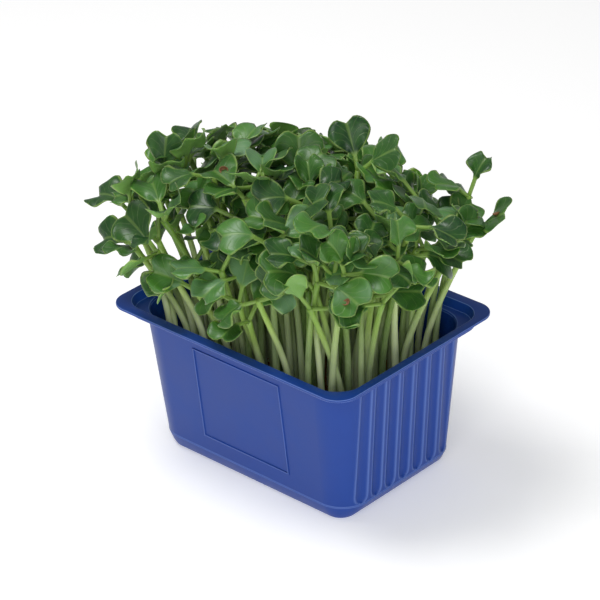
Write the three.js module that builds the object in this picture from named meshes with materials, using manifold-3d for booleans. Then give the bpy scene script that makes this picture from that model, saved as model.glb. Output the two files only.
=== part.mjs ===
// Microgreens tray: radish cress growing in a thin-walled plastic punnet.
// X runs along the tray, Y across it and Z up from the table. All sizes are in millimetres.
import * as THREE from "three";
import { mergeVertices } from "three/addons/utils/BufferGeometryUtils.js";
import Module from "manifold-3d";

const wasm = await Module();
wasm.setup();

// The tray: a flange round the mouth, a stacking ledge inside it, and walls that taper to the base.
const FLANGE = { length: 100, width: 75, corner: 7, thickness: 0.8 };
const TRAY_HEIGHT = 53;
const WALL_HEAD = { length: 90, width: 63, corner: 12, z: 49 };
const WALL_FOOT = { length: 83, width: 54.6, corner: 10, z: 5 };
const FOOT_CURVE = { length: 79.7, width: 52.5, corner: 7.8, z: 2 };
const BASE = { length: 75.6, width: 50, corner: 5 };
const WALL = 1;
const MOUTH_CORNER = 8;
const EDGE_ROUNDING = 0.2;
const LEDGE_HEIGHT = 50;
const FLANGE_TOP = { alongEnd: 3, alongSide: 3.7 };
const CORNER_STEPS = 6;

// Hollow flutes down the short ends, which swell the inside a little, and the thin raised frame on
// the long sides.
const FLUTE = { count: 7, pitch: 6.55, width: 4.8, depth: 1, foot: 5.6, head: 49.3, lip: 0.2, front: 0.5 };
const SWELL = { height: 0.6, foot: 7, head: 48.8, lip: 0.2, back: 0.5 };
const FRAME = { width: 37, low: 11, high: 45, line: 0.6, proud: 0.35, sunk: 0.45 };

// The growing mat and the holes that the stems stand in.
const MAT = { gap: 0.4, edge: 29.6, crown: 31, bump: 0.7 };
const HOLE = { bottom: 22, depth: 20, radius: 2.1, twinRadius: 2.9, sides: 6 };

// The seedlings: a stem, two stalks and two notched seed leaves each.
const ROOTS = { columns: 9, rows: 6, reachX: 34.5, reachY: 21.5, jitter: 1.7, apart: 5.2 };
const STEM = { foot: 22.6, rootRadius: 1.35, crownRadius: 1.05, clearOfMat: 33, twinApart: 1.3 };
const SPREAD = { x: 1.28, y: 1.38, jitter: 5 };
const CROWN_HEIGHT = { front: 63, back: 80, high: 99 };
const CANOPY = { top: 113, edgeDrop: 4, sideDrop: 0.1, backDrop: 0.3, floor: 60, rightLift: 0.34 };
const CANOPY_REACH = { x: 66, y: 52 };
const LEAF = { length: 13.6, halfWidth: 7.5, stalk: 6, smaller: 0.88 };
const BLADE = { halfThickness: 0.4, notch: 0.2, shoulder: 0.55 };
const STALK = { halfWidth: 0.75, halfThickness: 0.55 };
const HEAD_TILT = { middle: 12, edge: 48 };
const TRIES = 800;
const TWINS = 28;
const SEED = 2024;

// The seedlings that stand out at the edge of the head, set by hand: root, crown, and for each leaf
// its heading, its rise at the crown, its fall at the tip, its roll, all in degrees, and its size.
const OUTLINE = [
  { root: [-31, -13], crown: [-41.5, -17, 91], leaves: [[112, 78, 68, 0, 0.88], [-30, 62, 44, 0, 0.78]] },
  { root: [-34, -16], crown: [-52, -23, 79], leaves: [[184, 38, -24, -12, 1.05], [70, 58, 30, 0, 0.9]] },
  { root: [-30, -20], crown: [-42, -31, 73], leaves: [[192, 24, -34, -34, 0.95], [285, 36, -14, 0, 0.8]] },
  { root: [-22, -21], crown: [-29, -34, 77], leaves: [[172, 32, 18, -50, 1.05], [262, -6, -26, 40, 0.85]] },
  { root: [34.5, 18], crown: [46, 30, 82], leaves: [[2, 48, 30, 26, 1], [196, 48, 0, 0, 0.8]] },
  { root: [29, 22], crown: [38.5, 37, 90], leaves: [[80, 66, 52, 0, 0.7], [246, 46, 10, 0, 0.9]] },
  { root: [12, 10], crown: [15, 12, 101], leaves: [[162, 66, 60, -20, 0.95], [30, 40, 26, 34, 0.92]] },
  { root: [-6, 7], crown: [-6, 8, 90], leaves: [[134, 78, 66, 0, 1.08], [-50, 24, -34, 0, 0.9]] },
  { root: [3, -21], crown: [3, -31, 69], leaves: [[190, 14, -34, -46, 1], [95, 66, 60, 0, 0.9]] },
  { root: [14, -21], crown: [14, -34, 75], leaves: [[14, 26, 16, 44, 0.85], [235, -6, -52, 0, 0.8]] },
  { root: [33, -7], crown: [43, -14, 78], leaves: [[223, 52, 34, -50, 1.1], [40, 12, -8, 30, 0.95]] },
  { root: [33.5, -18], crown: [31, -29, 76], leaves: [[262, 58, 40, 30, 0.85], [28, 12, -24, 22, 0.95]] },
  { root: [-12, -20.5], crown: [-17, -30, 66], leaves: [[223, 34, 20, -48, 0.95], [40, 42, 28, 48, 0.85]] },
];

const DEG = Math.PI / 180;

// Joins and cuts are made on closed solids.
function solidFrom(points, triangles) {
  const vertProperties = new Float32Array(points.flatMap((p) => [p.x, p.y, p.z]));
  const triVerts = new Uint32Array(triangles);
  return new wasm.Manifold(new wasm.Mesh({ numProp: 3, vertProperties, triVerts }));
}

function solidOf(geometry) {
  const bare = geometry.clone();
  bare.deleteAttribute("normal");
  bare.deleteAttribute("uv");
  const merged = mergeVertices(bare, 1e-4);
  const vertProperties = new Float32Array(merged.attributes.position.array);
  const triVerts = new Uint32Array(merged.index.array);
  return new wasm.Manifold(new wasm.Mesh({ numProp: 3, vertProperties, triVerts }));
}

function meshOf(name, solid, material) {
  const { numProp, vertProperties, triVerts } = solid.getMesh();
  const positions = new Float32Array((vertProperties.length / numProp) * 3);
  for (let i = 0; i * 3 < positions.length; i += 1) {
    positions.set(vertProperties.subarray(i * numProp, i * numProp + 3), i * 3);
  }
  const geometry = new THREE.BufferGeometry();
  geometry.setAttribute("position", new THREE.BufferAttribute(positions, 3));
  geometry.setIndex(new THREE.BufferAttribute(new Uint32Array(triVerts), 1));
  geometry.computeVertexNormals();
  const mesh = new THREE.Mesh(geometry, material);
  mesh.name = name;
  return mesh;
}

// A closed skin over rings of points that run anticlockwise about the way the rings go.
function skin(rings) {
  const n = rings[0].length;
  const triangles = [];
  for (let r = 0; r + 1 < rings.length; r += 1) {
    for (let i = 0; i < n; i += 1) {
      const j = (i + 1) % n;
      const [a, b] = [r * n + i, r * n + j];
      triangles.push(a, b, b + n, a, b + n, a + n);
    }
  }
  const last = (rings.length - 1) * n;
  for (let i = 1; i + 1 < n; i += 1) {
    triangles.push(0, i + 1, i, last, last + i, last + i + 1);
  }
  return solidFrom(rings.flat(), triangles);
}

// A rectangle with round corners, anticlockwise from the front right corner.
function roundedRectangle(length, width, corner, z) {
  const [x, y] = [length / 2 - corner, width / 2 - corner];
  const centres = [[x, -y], [x, y], [-x, y], [-x, -y]];
  return centres.flatMap(([cx, cy], quarter) =>
    Array.from({ length: CORNER_STEPS + 1 }, (_, step) => {
      const angle = (quarter - 1 + step / CORNER_STEPS) * 90 * DEG;
      return new THREE.Vector3(cx + corner * Math.cos(angle), cy + corner * Math.sin(angle), z);
    }),
  );
}

// The wall's outer face at a height: its half length, half width and corner radius.
function wallAt(z) {
  const rise = (z - WALL_FOOT.z) / (WALL_HEAD.z - WALL_FOOT.z);
  const mix = (key) => THREE.MathUtils.lerp(WALL_FOOT[key], WALL_HEAD[key], rise);
  return { halfLength: mix("length") / 2, halfWidth: mix("width") / 2, corner: mix("corner") };
}

// The wall's outer X on a short end, round the corner where y is far out.
function endFace(y, z) {
  const { halfLength, halfWidth, corner } = wallAt(z);
  const past = Math.max(0, Math.abs(y) - (halfWidth - corner));
  return halfLength - corner + Math.sqrt(corner * corner - past * past);
}

// The tray's body: one skin up the outside, over the flange and down the inside.
function trayShell() {
  const { length, width, corner, thickness } = FLANGE;
  const mouthLength = length - 2 * FLANGE_TOP.alongEnd;
  const mouthWidth = width - 2 * FLANGE_TOP.alongSide;
  const ledgeLength = WALL_HEAD.length - 2 * WALL;
  const ledgeWidth = WALL_HEAD.width - 2 * WALL;
  const underside = TRAY_HEIGHT - thickness;
  const aroundMouth = (outset, z) => {
    return roundedRectangle(mouthLength + 2 * outset, mouthWidth + 2 * outset, MOUTH_CORNER, z);
  };
  const aroundFlange = (inset, z) => {
    return roundedRectangle(length - 2 * inset, width - 2 * inset, corner - inset, z);
  };
  const aroundLedge = (outset, z) => {
    const round = WALL_HEAD.corner - WALL + outset;
    return roundedRectangle(ledgeLength + 2 * outset, ledgeWidth + 2 * outset, round, z);
  };
  const insideOf = (outline, z) => {
    const wide = outline.width - 2 * WALL;
    return roundedRectangle(outline.length - 2 * WALL, wide, outline.corner - WALL, z);
  };
  const round = EDGE_ROUNDING;
  return skin([
    roundedRectangle(BASE.length, BASE.width, BASE.corner, 0),
    roundedRectangle(FOOT_CURVE.length, FOOT_CURVE.width, FOOT_CURVE.corner, FOOT_CURVE.z),
    roundedRectangle(WALL_FOOT.length, WALL_FOOT.width, WALL_FOOT.corner, WALL_FOOT.z),
    roundedRectangle(WALL_HEAD.length, WALL_HEAD.width, WALL_HEAD.corner, WALL_HEAD.z),
    aroundMouth(0.4, WALL_HEAD.z + round),
    aroundMouth(0.7, underside),
    aroundFlange(round, underside),
    aroundFlange(0, underside + round),
    aroundFlange(0, TRAY_HEIGHT - round),
    aroundFlange(round, TRAY_HEIGHT),
    aroundMouth(0, TRAY_HEIGHT),
    aroundMouth(-0.3, TRAY_HEIGHT - 2 * round),
    aroundMouth(-0.6, LEDGE_HEIGHT + round),
    aroundMouth(-0.9, LEDGE_HEIGHT),
    aroundLedge(0.4, LEDGE_HEIGHT),
    aroundLedge(0, LEDGE_HEIGHT - 0.5),
    insideOf(WALL_FOOT, WALL_FOOT.z + 0.3),
    insideOf(BASE, WALL),
  ]);
}

// A bar along the right-hand end with a crowned face, which lies inside a skin of the wall. Its
// stations say how high the crown is and how wide the bar is from its foot to its head.
function crownedBar(centre, stations, { inset, height, lip, back }) {
  return skin(
    stations.map(({ z, tall, wide }) => {
      const half = (FLUTE.width / 2) * wide;
      const crown = [1, 0.6, 0.2, -0.2, -0.6, -1].map((share) => {
        const y = centre + half * share;
        const proud = (height * tall + lip) * (1 - share * share) - lip;
        return new THREE.Vector3(endFace(y, z) - inset - proud, y, z);
      });
      const behind = [-0.9, 0.9].map((share) => {
        const y = centre + half * share;
        return new THREE.Vector3(endFace(y, z) - inset + back, y, z);
      });
      return [...crown, ...behind];
    }),
  );
}

// The air that one flute lets into the wall from outside. It starts round above the foot and runs
// up into the ledge.
function fluteCut(centre) {
  const stations = [
    { z: FLUTE.foot, tall: 0, wide: 0.3 },
    { z: FLUTE.foot + 0.6, tall: 0.65, wide: 0.65 },
    { z: FLUTE.foot + 1.4, tall: 0.9, wide: 0.87 },
    { z: FLUTE.foot + 2.6, tall: 1, wide: 1 },
    { z: FLUTE.head, tall: 1, wide: 1 },
  ];
  const { depth, lip, front } = FLUTE;
  return crownedBar(centre, stations, { inset: 0, height: depth, lip, back: front });
}

// The swelling behind one flute on the inside of the wall.
function fluteSwelling(centre) {
  const stations = [
    { z: SWELL.foot, tall: 0, wide: 0.6 },
    { z: SWELL.foot + 2, tall: 1, wide: 1 },
    { z: SWELL.head, tall: 1, wide: 1 },
  ];
  const { height, lip, back } = SWELL;
  return crownedBar(centre, stations, { inset: WALL, height, lip, back });
}

// The raised frame on the front long side, laid on the sloping wall.
function frameLine() {
  const [low, high] = [wallAt(FRAME.low), wallAt(FRAME.high)];
  const slope = Math.atan2(high.halfWidth - low.halfWidth, FRAME.high - FRAME.low);
  const tall = (FRAME.high - FRAME.low) / Math.cos(slope);
  const rectangle = (inset) => [
    new THREE.Vector2(-FRAME.width / 2 + inset, inset),
    new THREE.Vector2(FRAME.width / 2 - inset, inset),
    new THREE.Vector2(FRAME.width / 2 - inset, tall - inset),
    new THREE.Vector2(-FRAME.width / 2 + inset, tall - inset),
  ];
  const shape = new THREE.Shape(rectangle(0));
  shape.holes.push(new THREE.Path(rectangle(FRAME.line)));
  const depth = FRAME.proud + FRAME.sunk;
  const bars = new THREE.ExtrudeGeometry(shape, { depth, bevelEnabled: false });
  bars.translate(0, 0, -FRAME.sunk);
  const along = new THREE.Vector3(1, 0, 0);
  const up = new THREE.Vector3(0, -Math.sin(slope), Math.cos(slope));
  const out = along.clone().cross(up);
  const lay = new THREE.Matrix4().makeBasis(along, up, out);
  lay.setPosition(0, -low.halfWidth, FRAME.low);
  return bars.applyMatrix4(lay);
}

function tray() {
  let body = trayShell();
  const frame = frameLine();
  body = body.add(solidOf(frame)).add(solidOf(frame.clone().rotateZ(Math.PI)));
  const places = Array.from({ length: FLUTE.count }, (_, i) => (i - (FLUTE.count - 1) / 2) * FLUTE.pitch);
  const bothEnds = (piece) => [piece, piece.rotate([0, 0, 180])];
  for (const piece of places.flatMap((place) => bothEnds(fluteSwelling(place)))) {
    body = body.add(piece);
  }
  for (const piece of places.flatMap((place) => bothEnds(fluteCut(place)))) {
    body = body.subtract(piece);
  }
  return body;
}

// The growing mat: a block that follows the tray's walls, with a lumpy top.
function matTop(x, y) {
  const swell = Math.sin(0.31 * x + 1) * Math.cos(0.37 * y);
  const grain = Math.sin(0.83 * x - 0.69 * y);
  return MAT.crown + MAT.bump * (swell + 0.5 * grain);
}

function mat(clumps) {
  const inside = (z) => {
    const { halfLength, halfWidth, corner } = wallAt(z);
    const cut = WALL + MAT.gap;
    const long = 2 * (halfLength - cut - SWELL.height);
    return roundedRectangle(long, 2 * (halfWidth - cut), corner - cut, z);
  };
  const foot = WALL + MAT.gap;
  const rings = [
    roundedRectangle(BASE.length - 2 * foot, BASE.width - 2 * foot, BASE.corner - foot, foot),
    inside(WALL_FOOT.z + 2 * MAT.gap),
    inside(MAT.edge),
  ];
  for (const share of [0.97, 0.72, 0.4]) {
    rings.push(
      inside(MAT.edge).map(({ x, y }) => {
        return new THREE.Vector3(x * share, y * share, matTop(x * share, y * share));
      }),
    );
  }
  let block = skin(rings);
  for (const { seedlings } of clumps) {
    const radius = seedlings.length > 1 ? HOLE.twinRadius : HOLE.radius;
    const sum = (key) => seedlings.reduce((total, { root }) => total + root[key], 0);
    const hole = new THREE.CylinderGeometry(radius, radius, HOLE.depth, HOLE.sides);
    hole.rotateX(90 * DEG);
    hole.translate(sum("x") / seedlings.length, sum("y") / seedlings.length, HOLE.bottom + HOLE.depth / 2);
    block = block.subtract(solidOf(hole));
  }
  return block;
}

// Repeatable random numbers: the same seed always gives the same tray of seedlings.
function seededRandom(seed) {
  let state = seed;
  return (low, high) => {
    state = (state * 16807) % 2147483647;
    return low + ((high - low) * state) / 2147483647;
  };
}

// The stem's line: straight up out of the mat, then leaning out to the crown.
function stemCurve({ root, crown, lean }) {
  const start = new THREE.Vector3(root.x, root.y, STEM.clearOfMat);
  const rise = crown.z - start.z;
  const low = new THREE.Vector3(root.x, root.y, start.z + rise * 0.35);
  const high = crown.clone().addScaledVector(lean, -rise * 0.4);
  return new THREE.CubicBezierCurve3(start, low, high, crown);
}

// A leaf's surface. Along runs from 0 at the stalk to 1 at the lobes, across from -1 to 1.
// The blade widens from the stalk, its far edge is round and notched at the midrib, and it is
// folded and cupped about the midrib, which bends from the leaf's rise to its fall.
function leafSurface(crown, leaf) {
  const heading = new THREE.Vector3(Math.cos(leaf.turn), Math.sin(leaf.turn), 0);
  const aim = (angle) => {
    return new THREE.Vector3(0, 0, Math.sin(angle)).addScaledVector(heading, Math.cos(angle));
  };
  const total = leaf.stalk + leaf.length;
  const bend = crown.clone().addScaledVector(aim(leaf.rise), total / 2);
  const tip = bend.clone().addScaledVector(aim(leaf.fall), total / 2);
  const midrib = new THREE.QuadraticBezierCurve3(crown, bend, tip);
  const level = new THREE.Vector3(-heading.y, heading.x, 0);
  const stalkAt = (run) => {
    const t = run / total;
    const way = midrib.getTangent(t);
    const up = way.clone().cross(level);
    const [c, s] = [Math.cos(leaf.roll), Math.sin(leaf.roll)];
    const side = level.clone().multiplyScalar(c).addScaledVector(up, s);
    const face = up.multiplyScalar(c).addScaledVector(level, -s);
    return { point: midrib.getPoint(t), side, face };
  };
  const bladeAt = (along, across) => {
    const dome = BLADE.shoulder + (1 - BLADE.shoulder) * Math.sqrt(1 - across * across);
    const reach = dome * (1 - BLADE.notch * Math.exp(-((across / 0.3) ** 2)));
    const base = STALK.halfWidth / leaf.halfWidth;
    const spread = base + (1 - base) * Math.sin((Math.PI / 2) * along) ** 1.3;
    const width = leaf.halfWidth * spread * across;
    const { point, side, face } = stalkAt(leaf.stalk + leaf.length * reach * along);
    const lift = Math.abs(width) * Math.sin(leaf.fold) + (leaf.cup * width * width) / leaf.halfWidth;
    point.addScaledVector(side, width * Math.cos(leaf.fold)).addScaledVector(face, lift);
    return { point, face };
  };
  return { stalkAt, bladeAt };
}

// Points that stand for a seedling when it is kept clear of its neighbours, with their radii.
function reachOf(seedling) {
  const points = [];
  const curve = stemCurve(seedling);
  for (let i = 0; i <= 24; i += 1) {
    points.push({ at: curve.getPoint(i / 24), radius: 1.3, part: "stem", free: i < 20 });
  }
  seedling.leaves.forEach((leaf, part) => {
    const { stalkAt, bladeAt } = leafSurface(seedling.crown, leaf);
    for (const run of [0.35, 0.7, 1]) {
      points.push({ at: stalkAt(run * leaf.stalk).point, radius: 0.9, part, free: false });
    }
    for (const [along, count] of [[0.3, 2], [0.5, 4], [0.7, 6], [0.86, 8], [1, 10]]) {
      for (let i = 0; i <= count; i += 1) {
        const across = (2 * i) / count - 1;
        points.push({ at: bladeAt(along, across).point, radius: 0.95, part, free: true });
      }
    }
  });
  return points;
}

// Inside the tray a stem keeps off the walls, and every leaf stays within the head. Its top is
// lower at its edge and towards the back, and its underside is higher to the right.
function clearOfTray(points) {
  return points.every(({ at, radius, part }) => {
    if (part !== "stem") {
      const edge = CANOPY.edgeDrop * edgeShare(at) ** 2;
      const slope = CANOPY.sideDrop * Math.abs(at.x) + CANOPY.backDrop * Math.max(0, at.y);
      const floor = CANOPY.floor + CANOPY.rightLift * Math.max(0, at.x);
      const within = Math.hypot(at.x / CANOPY_REACH.x, at.y / CANOPY_REACH.y) < 1;
      return within && at.z > floor && at.z < CANOPY.top - edge - slope;
    }
    if (at.z > TRAY_HEIGHT + 2) return true;
    const { halfLength, halfWidth, corner } = wallAt(Math.min(at.z, WALL_HEAD.z));
    const inset = WALL + 0.4 + radius;
    const x = Math.max(0, Math.abs(at.x) - (halfLength - corner));
    const y = Math.max(0, Math.abs(at.y) - (halfWidth - corner));
    return Math.hypot(x, y) < corner - inset;
  });
}

// A seedling's blades keep off each other and off their own stem.
function clearOfItself(points) {
  const free = points.filter((p) => p.free);
  return free.every((a) => clearOfOthers([a], free.filter((b) => b.part !== a.part)));
}

function clearOfOthers(points, others) {
  return points.every((a) =>
    others.every((b) => {
      const apart = a.radius + b.radius;
      return a.at.distanceToSquared(b.at) > apart * apart;
    }),
  );
}

// How far out a place is, from 0 in the middle to 1 over the tray's wall.
function edgeShare({ x, y }) {
  return Math.min(1, Math.hypot(x / (WALL_HEAD.length / 2), y / (WALL_HEAD.width / 2)));
}

function leanOf(root, crown, random) {
  const outward = new THREE.Vector3(crown.x - root.x, crown.y - root.y, 0).multiplyScalar(0.035);
  return outward.add(new THREE.Vector3(random(-0.12, 0.12), random(-0.12, 0.12), 1)).normalize();
}

// A seedling drawn at random. It leans out from the middle, its two leaves lie on opposite sides,
// and the whole head of leaves tilts to face outwards, more so at the edge.
// Only the front rows stay short. Crowding, from 0 to 1, makes leaves stand up, fold and stay smaller.
function drawSeedling(root, random, crowding) {
  const depth = THREE.MathUtils.smoothstep(root.y, -ROOTS.reachY, 0);
  const low = THREE.MathUtils.lerp(CROWN_HEIGHT.front, CROWN_HEIGHT.back, depth);
  const jitter = SPREAD.jitter * (1 + crowding);
  const crown = new THREE.Vector3(
    root.x * SPREAD.x + random(-jitter, jitter),
    root.y * SPREAD.y + random(-jitter, jitter),
    random(low, CROWN_HEIGHT.high),
  );
  const lean = leanOf(root, crown, random);
  const turn = random(0, 2 * Math.PI);
  const outward = Math.atan2(crown.y, crown.x);
  const facing = THREE.MathUtils.lerp(HEAD_TILT.middle, HEAD_TILT.edge, edgeShare(root));
  const tilt = facing * random(0.6, 1.2);
  const leaves = [1, LEAF.smaller].map((share, i) => {
    const size = share * (1 - 0.15 * crowding);
    const heading = turn + i * Math.PI + random(-0.5, 0.5);
    const level = random(5, 48) + 30 * crowding;
    const towards = Math.cos(heading - outward) * tilt;
    return {
      turn: heading,
      rise: (level + random(0, 24) - towards) * DEG,
      fall: (level - random(14, 56) - towards) * DEG,
      stalk: LEAF.stalk * random(0.75, 1.25),
      length: LEAF.length * size * random(0.92, 1.08),
      halfWidth: LEAF.halfWidth * size * random(0.92, 1.08),
      fold: (random(-8, 30) + 18 * crowding) * DEG,
      cup: random(-0.12, 0.16),
      roll: (Math.sin(heading - outward) * tilt + random(-16, 16)) * DEG,
    };
  });
  return { root, crown, lean, leaves };
}

// A seedling set by hand; only the small differences between leaves are drawn at random.
function setSeedling({ root, crown, leaves }, random) {
  const foot = { x: root[0], y: root[1] };
  const head = new THREE.Vector3(...crown);
  return {
    root: foot,
    crown: head,
    lean: leanOf(foot, head, random),
    leaves: leaves.map(([turn, rise, fall, roll, size]) => ({
      turn: turn * DEG,
      rise: rise * DEG,
      fall: fall * DEG,
      stalk: LEAF.stalk * random(0.7, 1),
      length: LEAF.length * size,
      halfWidth: LEAF.halfWidth * size,
      fold: random(2, 20) * DEG,
      cup: random(-0.08, 0.12),
      roll: roll * DEG,
    })),
  };
}

// The other roots stand on a loose grid, away from those set by hand.
function rootPlaces(random) {
  const places = [];
  for (let row = 0; row < ROOTS.rows; row += 1) {
    for (let column = 0; column < ROOTS.columns; column += 1) {
      const x = ((2 * column) / (ROOTS.columns - 1) - 1) * ROOTS.reachX;
      const y = ((2 * row) / (ROOTS.rows - 1) - 1) * ROOTS.reachY;
      const place = {
        x: x + random(-ROOTS.jitter, ROOTS.jitter),
        y: y + random(-ROOTS.jitter, ROOTS.jitter),
      };
      const apart = ({ root }) => Math.hypot(place.x - root[0], place.y - root[1]) > ROOTS.apart;
      if (OUTLINE.every(apart)) places.push(place);
    }
  }
  return places;
}

// Plants the tray: the seedlings set by hand, one on each other root, then twins on some roots.
// A drawn seedling that would touch another is drawn again.
function plant() {
  const random = seededRandom(SEED);
  const set = OUTLINE.map((entry) => setSeedling(entry, random));
  const taken = set.flatMap(reachOf);
  const drawn = rootPlaces(random).map((root) => ({ seedlings: [], root }));
  const clumps = [...set.map((seedling) => ({ seedlings: [seedling], root: seedling.root })), ...drawn];
  const grow = ({ seedlings, root }, foot) => {
    for (let i = 0; i < TRIES; i += 1) {
      const seedling = drawSeedling(foot, random, i / TRIES);
      const points = reachOf(seedling);
      const aboveRoot = seedlings.length ? points.filter(({ at }) => at.z > TRAY_HEIGHT) : points;
      const fits = clearOfTray(points) && clearOfOthers(aboveRoot, taken) && clearOfItself(points);
      if (fits) {
        taken.push(...points);
        seedlings.push(seedling);
        return true;
      }
    }
    return false;
  };
  drawn.forEach((clump) => grow(clump, clump.root));
  let twins = 0;
  for (const clump of clumps) {
    const turn = random(0, 2 * Math.PI);
    const foot = {
      x: clump.root.x + STEM.twinApart * Math.cos(turn),
      y: clump.root.y + STEM.twinApart * Math.sin(turn),
    };
    if (twins < TWINS && clump.seedlings.length === 1 && grow(clump, foot)) twins += 1;
  }
  return clumps.filter(({ seedlings }) => seedlings.length > 0);
}

// A square ring of points round a stem, anticlockwise from the front of the first leaf's side.
function stemRing(point, way, pairAxis, radius) {
  const across = way.clone().cross(pairAxis).normalize();
  const along = across.clone().cross(way);
  return [[1, -1], [1, 1], [-1, 1], [-1, -1]].map(([u, w]) =>
    point.clone().addScaledVector(along, u * radius * 0.75).addScaledVector(across, w * radius * 0.75),
  );
}

// A seedling in one skin: a square stem that forks into two stalks, each widening into a blade
// with the same triangles on both faces.
function seedlingSolid(seedling) {
  const points = [];
  const triangles = [];
  const put = (list) => list.map((point) => points.push(point) - 1);
  const quad = (a, b, c, d) => triangles.push(a, b, c, a, c, d);
  const { root, crown, lean, leaves } = seedling;
  const heading = ({ turn }) => new THREE.Vector3(Math.cos(turn), Math.sin(turn), 0);
  const pairAxis = heading(leaves[0]).sub(heading(leaves[1])).normalize();
  const curve = stemCurve(seedling);

  const foot = new THREE.Vector3(root.x, root.y, STEM.foot);
  const upright = new THREE.Vector3(0, 0, 1);
  const rings = [put(stemRing(foot, upright, pairAxis, STEM.rootRadius))];
  for (const t of [0, 0.35, 0.7, 0.97]) {
    const radius = THREE.MathUtils.lerp(STEM.rootRadius, STEM.crownRadius, t);
    rings.push(put(stemRing(curve.getPoint(t), curve.getTangent(t), pairAxis, radius)));
  }
  quad(rings[0][3], rings[0][2], rings[0][1], rings[0][0]);
  for (let r = 0; r + 1 < rings.length; r += 1) {
    for (let i = 0; i < 4; i += 1) {
      const j = (i + 1) % 4;
      quad(rings[r][i], rings[r][j], rings[r + 1][j], rings[r + 1][i]);
    }
  }
  const top = rings.at(-1);
  const across = lean.clone().cross(pairAxis).normalize();
  const fork = crown.clone().addScaledVector(lean, 0.7);
  const [left, right] = put(
    [0.75, -0.75].map((w) => fork.clone().addScaledVector(across, w * STEM.crownRadius)),
  );
  triangles.push(top[1], top[2], left, top[3], top[0], right);

  const sections = [
    [top[0], top[1], left, right],
    [top[2], top[3], right, left],
  ];
  leaves.forEach((leaf, k) => {
    const { stalkAt, bladeAt } = leafSurface(crown, leaf);
    const end = stalkAt(leaf.stalk);
    const corner = (side, face) =>
      end.point
        .clone()
        .addScaledVector(end.side, side * STALK.halfWidth)
        .addScaledVector(end.face, face * STALK.halfThickness);
    const a = sections[k];
    const b = put([corner(-1, -1), corner(1, -1), corner(1, 1), corner(-1, 1)]);
    for (let i = 0; i < 4; i += 1) {
      const j = (i + 1) % 4;
      quad(a[i], a[j], b[j], b[i]);
    }
    const bladeRow = (along, places, face) =>
      put(
        places.map((place) => {
          const at = bladeAt(along, place);
          return at.point.addScaledVector(at.face, face * BLADE.halfThickness);
        }),
      );
    const [upper, lower] = [1, -1].map((face) => [
      ...bladeRow(0.5, [-1, 0, 1], face),
      ...bladeRow(1, [-1, -0.8, -0.42, 0, 0.42, 0.8, 1], face),
    ]);
    const faces = [0, 3, 1, 3, 6, 1, 3, 4, 6, 4, 5, 6, 1, 9, 2, 1, 6, 9, 6, 8, 9, 6, 7, 8];
    triangles.push(...faces.map((i) => upper[i]));
    triangles.push(...faces.map((i) => lower[i]).reverse());
    triangles.push(b[3], upper[0], upper[1], b[3], upper[1], b[2], b[2], upper[1], upper[2]);
    triangles.push(b[0], lower[1], lower[0], b[0], b[1], lower[1], b[1], lower[2], lower[1]);
    quad(b[0], lower[0], upper[0], b[3]);
    quad(b[1], b[2], upper[2], lower[2]);
    const rim = [0, 3, 4, 5, 6, 7, 8, 9, 2];
    for (let i = 0; i + 1 < rim.length; i += 1) {
      quad(upper[rim[i]], lower[rim[i]], lower[rim[i + 1]], upper[rim[i + 1]]);
    }
  });
  return solidFrom(points, triangles);
}

function clumpSolid({ seedlings }) {
  return seedlings.map(seedlingSolid).reduce((whole, one) => whole.add(one));
}

const group = new THREE.Group();
const clumps = plant();

const plastic = new THREE.MeshStandardMaterial({ color: 0x274a94, roughness: 0.42, metalness: 0 });
group.add(meshOf("tray", tray(), plastic));

const fibre = new THREE.MeshStandardMaterial({ color: 0x4a2713, roughness: 0.95, metalness: 0 });
group.add(meshOf("growing_mat", mat(clumps), fibre));

clumps.forEach((clump, i) => {
  const green = new THREE.MeshStandardMaterial({ color: 0x2f6b2c, roughness: 0.5, metalness: 0 });
  group.add(meshOf(`sprout_${String(i + 1).padStart(2, "0")}`, clumpSolid(clump), green));
});

export default group;
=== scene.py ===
# Microgreens tray: radish cress that grows from a fibre mat in a thin-walled blue plastic punnet.
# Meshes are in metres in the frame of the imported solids: X along the tray, Y across it, Z up.
# Sizes are given in millimetres, and MM makes them metres.
import math

import bmesh
import bpy
import numpy as np
from mathutils import Matrix, Vector, noise
from mathutils.kdtree import KDTree


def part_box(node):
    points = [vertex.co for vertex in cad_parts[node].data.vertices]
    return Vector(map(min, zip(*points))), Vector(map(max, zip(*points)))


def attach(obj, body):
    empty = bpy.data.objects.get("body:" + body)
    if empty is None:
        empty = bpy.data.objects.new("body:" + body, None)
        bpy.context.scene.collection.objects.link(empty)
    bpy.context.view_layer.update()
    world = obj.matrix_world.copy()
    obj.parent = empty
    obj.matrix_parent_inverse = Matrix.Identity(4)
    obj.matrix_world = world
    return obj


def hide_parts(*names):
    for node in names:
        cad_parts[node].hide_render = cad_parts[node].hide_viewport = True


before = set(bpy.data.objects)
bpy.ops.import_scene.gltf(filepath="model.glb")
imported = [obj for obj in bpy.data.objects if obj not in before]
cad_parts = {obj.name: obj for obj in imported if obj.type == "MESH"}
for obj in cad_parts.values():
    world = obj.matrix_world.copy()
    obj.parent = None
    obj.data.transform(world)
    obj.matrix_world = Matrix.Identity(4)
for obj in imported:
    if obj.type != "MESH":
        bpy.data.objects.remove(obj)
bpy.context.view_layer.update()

# The tray
# One shell of blue polypropylene about 1 mm thick, vacuum-formed in a mould: a flat flange round
# the mouth, a stacking ledge inside it, walls that taper to the base, and a chamfer at the foot.
MM = 0.001
tray_low, tray_high = (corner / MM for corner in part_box("tray"))
FLANGE = (tray_high.x - tray_low.x, tray_high.y - tray_low.y, 7)
FLANGE_THICKNESS = 0.8
MOUTH = (FLANGE[0] - 6, FLANGE[1] - 7.4, 8)
LEDGE_HEIGHT = 50
WALL_HEAD = (90, 63, 12)
WALL_HEAD_HEIGHT = 49
WALL_FOOT = (83, 54.6, 10)
WALL_FOOT_HEIGHT = 5
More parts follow.
